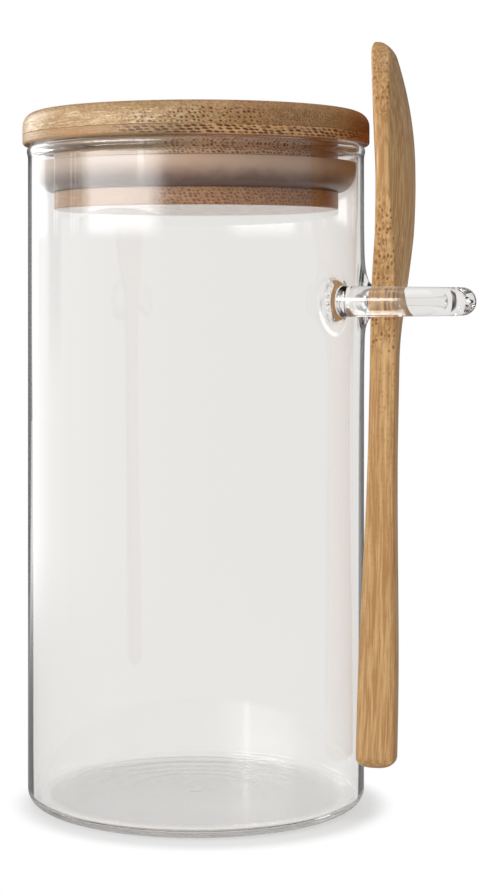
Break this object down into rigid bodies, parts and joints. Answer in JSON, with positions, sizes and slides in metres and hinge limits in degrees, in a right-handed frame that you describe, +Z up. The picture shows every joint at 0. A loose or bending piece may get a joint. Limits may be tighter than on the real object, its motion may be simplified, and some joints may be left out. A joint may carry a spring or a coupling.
{
  "type": "storage jar",
  "caption": "Clear glass cylinder jar with a bamboo plug lid sealed by a silicone ring, and a bamboo spoon hanging bowl up in a glass loop on its side.",
  "frame": {"origin": "middle of the jar's flat underside, on the jar's axis", "axes": "+Z up along the jar's axis; the rod loop and the spoon are on the +X side, turned 21 degrees towards -Y"},
  "size_m": [0.1124, 0.0878, 0.1898],
  "materials": {
    "clear_glass": "clear fire-polished borosilicate glass",
    "bamboo_cap": "carbonised bamboo, sanded and oiled, satin",
    "bamboo_plug": "carbonised bamboo, turned, bare",
    "silicone": "translucent white silicone, satin",
    "bamboo_spoon": "carbonised bamboo, sanded, satin"
  },
  "bodies": {
    "jar": {"glass_body": "clear_glass", "spoon_loop": "clear_glass"},
    "lid": {"lid_cap_upper_ply": "bamboo_cap", "lid_cap_lower_ply": "bamboo_cap", "lid_plug_neck": "bamboo_plug", "lid_plug_flange": "bamboo_plug", "seal_ring": "silicone"},
    "spoon": {"spoon": "bamboo_spoon"}
  },
  "joints": [
    {"name": "lid_lift", "type": "slide", "parent": "jar", "child": "lid", "axis": [0, 0, 1], "range_m": [0, 0.065]},
    {"name": "spoon_lift", "type": "slide", "parent": "jar", "child": "spoon", "axis": [0.0224, 0.0219, 0.9995], "range_m": [0, 0.125]}
  ]
}
